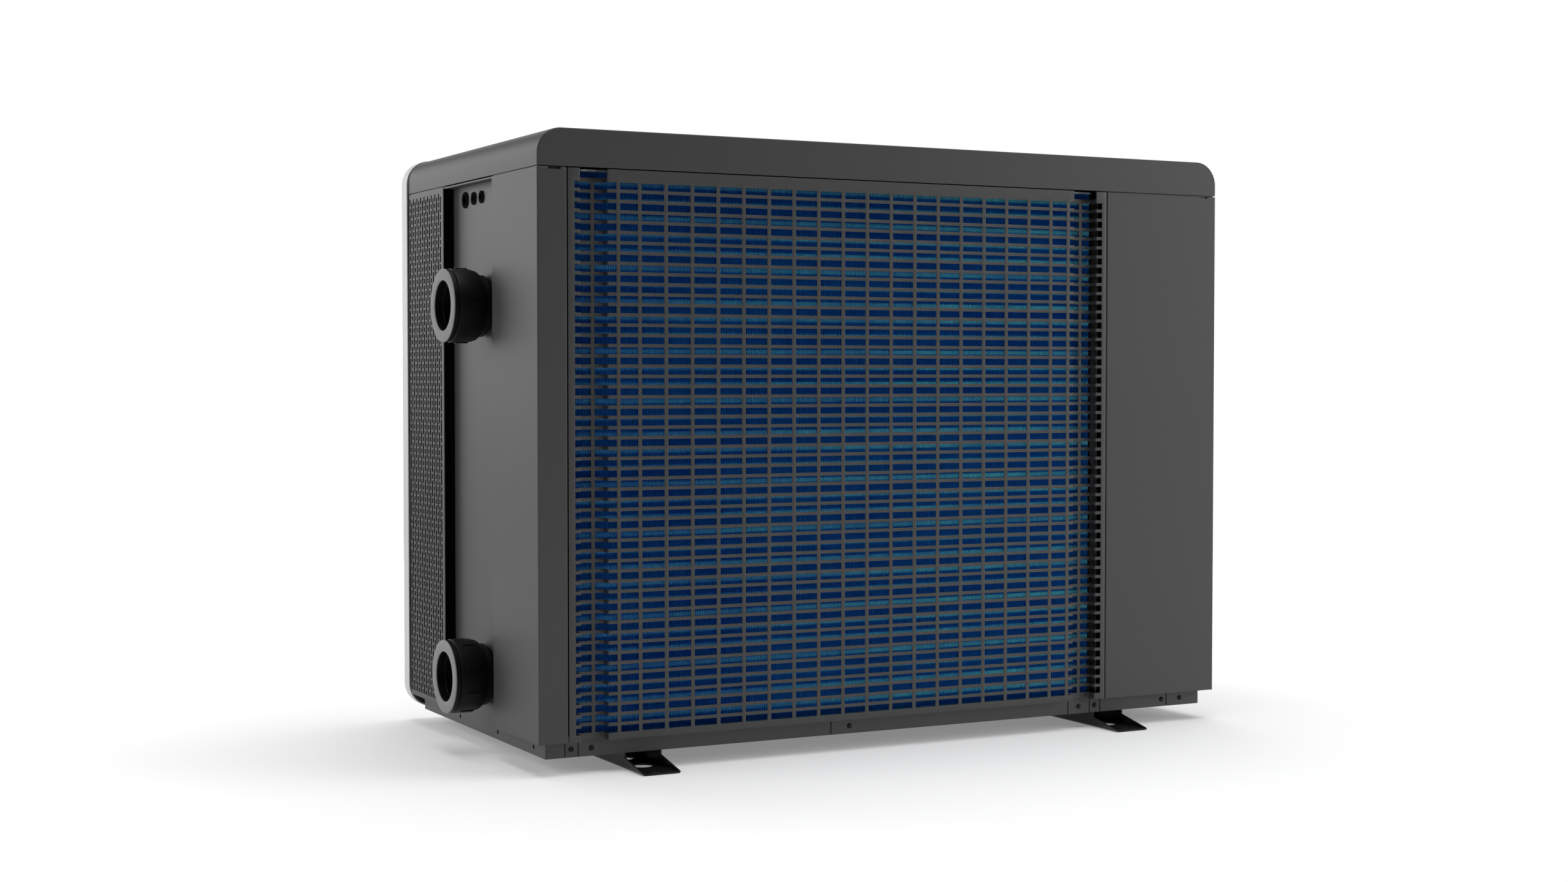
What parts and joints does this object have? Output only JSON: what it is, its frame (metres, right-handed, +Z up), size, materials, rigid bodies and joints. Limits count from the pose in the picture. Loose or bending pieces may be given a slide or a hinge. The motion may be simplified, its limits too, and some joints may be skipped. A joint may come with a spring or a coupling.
{
  "type": "pool heat pump",
  "caption": "Floor-standing air-to-water pool heat pump: boxed sheet-metal cabinet, slotted coil grille, front fan and side water unions.",
  "frame": {"origin": "middle of the bounding box on the floor, under the feet", "axes": "+X towards the water unions, -Y the way the fan blows (front), +Y the coil side (rear), +Z up"},
  "size_m": [1.044, 0.58, 0.771],
  "materials": {
    "charcoal_paint": "satin charcoal powder coat, finely textured",
    "silver_fascia": "light silver moulding, satin",
    "black_paint": "semi-gloss black enamel",
    "black_plastic": "black moulding, fine grain",
    "grey_ring": "black union body with a mid-grey end face",
    "galvanised_steel": "galvanised sheet, dull spangle",
    "blue_fin": "thin aluminium fins, blue hydrophilic coating",
    "copper": "drawn copper tube, lightly tarnished",
    "compressor_enamel": "black enamel",
    "vessel_plastic": "dark grey moulding",
    "black_rubber": "matt black rubber",
    "dark_screw": "blackened steel",
    "box_plastic": "off-white flame-retardant moulding"
  },
  "bodies": {
    "cabinet": {"base_pan": "charcoal_paint", "drain_spout": "black_plastic", "rear_rail": "charcoal_paint", "foot_near": "black_paint", "foot_far": "black_paint", "top_cover": "charcoal_paint", "corner_panel_near": "charcoal_paint", "corner_panel_far": "charcoal_paint", "service_panel": "charcoal_paint", "air_panel": "charcoal_paint", "recess_trim": "black_plastic", "connection_wall": "charcoal_paint", "far_wall": "galvanised_steel", "cable_grommet_1": "black_rubber", "cable_grommet_2": "black_rubber", "cable_grommet_3": "black_rubber", "rear_grille": "charcoal_paint", "coil_fins": "blue_fin", "coil_end_plate_far": "black_paint", "coil_end_plate_near": "black_paint", "coil_top_rail": "galvanised_steel", "front_fascia": "silver_fascia", "fan_shroud": "black_plastic", "fan_guard": "black_plastic", "fan_motor": "galvanised_steel", "motor_plate": "galvanised_steel", "motor_rail_near": "galvanised_steel", "motor_rail_far": "galvanised_steel", "union_body_lower": "black_plastic", "union_body_upper": "black_plastic", "union_seal_lower": "black_rubber", "union_seal_upper": "black_rubber", "union_socket_lower": "grey_ring", "union_socket_upper": "grey_ring", "water_exchanger": "vessel_plastic", "compressor": "compressor_enamel", "compressor_mount_1": "black_rubber", "compressor_mount_2": "black_rubber", "compressor_mount_3": "black_rubber", "accumulator": "compressor_enamel", "four_way_valve": "copper", "discharge_line": "copper", "suction_line": "copper", "coil_line": "copper", "gas_line": "copper", "liquid_line": "copper", "electrical_box": "box_plastic", "electrical_lid": "box_plastic", "partition": "galvanised_steel", "rail_screw_1": "dark_screw", "rail_screw_2": "dark_screw", "rail_screw_3": "dark_screw", "rail_screw_4": "dark_screw", "rail_screw_5": "dark_screw", "rail_screw_6": "dark_screw", "rail_screw_7": "dark_screw"},
    "fan": {"fan_rotor": "black_plastic", "motor_shaft": "galvanised_steel"},
    "nut_lower": {"union_nut_lower": "black_plastic"},
    "nut_upper": {"union_nut_upper": "black_plastic"}
  },
  "joints": [
    {"name": "fan_spin", "type": "hinge", "parent": "cabinet", "child": "fan", "pos_m": [-0.02, -0.188, 0.395], "axis": [0, 1, 0], "continuous": true},
    {"name": "lower_nut_turn", "type": "hinge", "parent": "cabinet", "child": "nut_lower", "pos_m": [0.5, 0.031, 0.098], "axis": [1, 0, 0], "continuous": true},
    {"name": "upper_nut_turn", "type": "hinge", "parent": "cabinet", "child": "nut_upper", "pos_m": [0.5, 0.031, 0.565], "axis": [1, 0, 0], "continuous": true}
  ]
}
